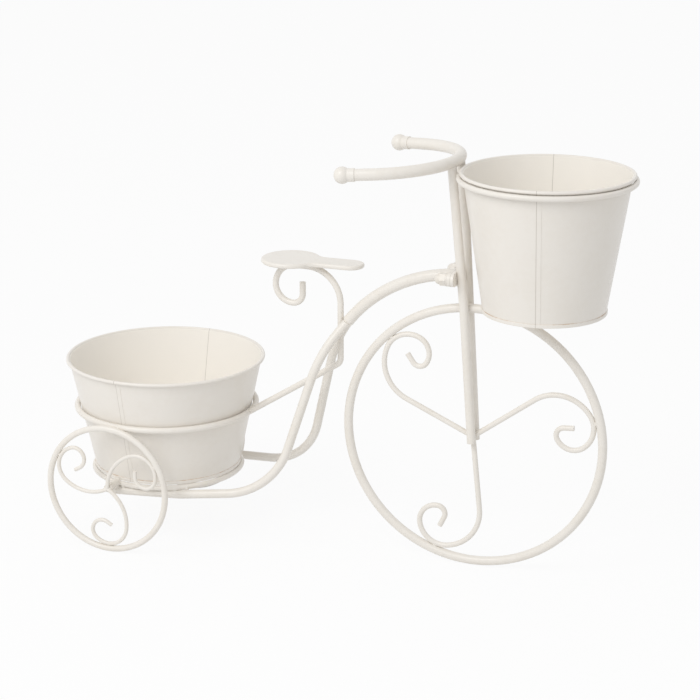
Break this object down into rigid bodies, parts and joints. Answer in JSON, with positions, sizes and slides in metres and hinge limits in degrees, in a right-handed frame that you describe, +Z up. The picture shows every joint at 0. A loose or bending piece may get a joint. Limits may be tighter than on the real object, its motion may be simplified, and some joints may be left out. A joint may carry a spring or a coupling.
{
  "type": "bicycle plant stand",
  "caption": "Tricycle-shaped plant stand of welded round bar with scroll-work wheels, a ring and bucket at the front and a round pot in a ring between the rear wheels.",
  "frame": {"origin": "on the floor in the middle plane, straight below the front wheel's centre, where the front rim stands", "axes": "+X forward, +Y to the rider's left, +Z up"},
  "size_m": [0.6635, 0.23, 0.4699],
  "materials": {
    "frame_paint": "satin cream paint over steel bar",
    "pot_paint": "satin cream paint over steel sheet",
    "fastener_paint": "satin cream paint over steel fasteners"
  },
  "bodies": {
    "stand": {"backbone_tube": "frame_paint", "clamp_cap_nuts": "fastener_paint", "clamp_studs": "fastener_paint", "clamp_washers": "fastener_paint", "fork_plate": "frame_paint", "fork_rod_left": "frame_paint", "fork_rod_right": "frame_paint", "front_ring": "frame_paint", "front_scroll_aft": "frame_paint", "front_scroll_fore": "frame_paint", "front_scroll_low": "frame_paint", "front_wheel_rim": "frame_paint", "handlebar": "frame_paint", "handlebar_grip_left": "frame_paint", "handlebar_grip_right": "frame_paint", "head_plate": "frame_paint", "pot_hoop": "frame_paint", "rail_left": "frame_paint", "rail_right": "frame_paint", "rear_rim_left": "frame_paint", "rear_rim_right": "frame_paint", "rear_ring": "frame_paint", "rear_scroll_aft_left": "frame_paint", "rear_scroll_aft_right": "frame_paint", "rear_scroll_fore_left": "frame_paint", "rear_scroll_fore_right": "frame_paint", "rear_scroll_low_left": "frame_paint", "rear_scroll_low_right": "frame_paint", "seat_plate": "frame_paint", "seat_rod": "frame_paint", "stub_axle_left": "frame_paint", "stub_axle_right": "frame_paint"},
    "front_bucket": {"front_bucket_wall": "pot_paint", "front_bucket_floor": "pot_paint"},
    "rear_pot": {"rear_pot_wall": "pot_paint", "rear_pot_floor": "pot_paint"}
  },
  "joints": [
    {"name": "front_bucket_lift", "type": "slide", "parent": "stand", "child": "front_bucket", "axis": [0, 0, 1], "range_m": [0, 0.165]},
    {"name": "rear_pot_lift", "type": "slide", "parent": "stand", "child": "rear_pot", "axis": [0, 0, 1], "range_m": [0, 0.1]}
  ]
}
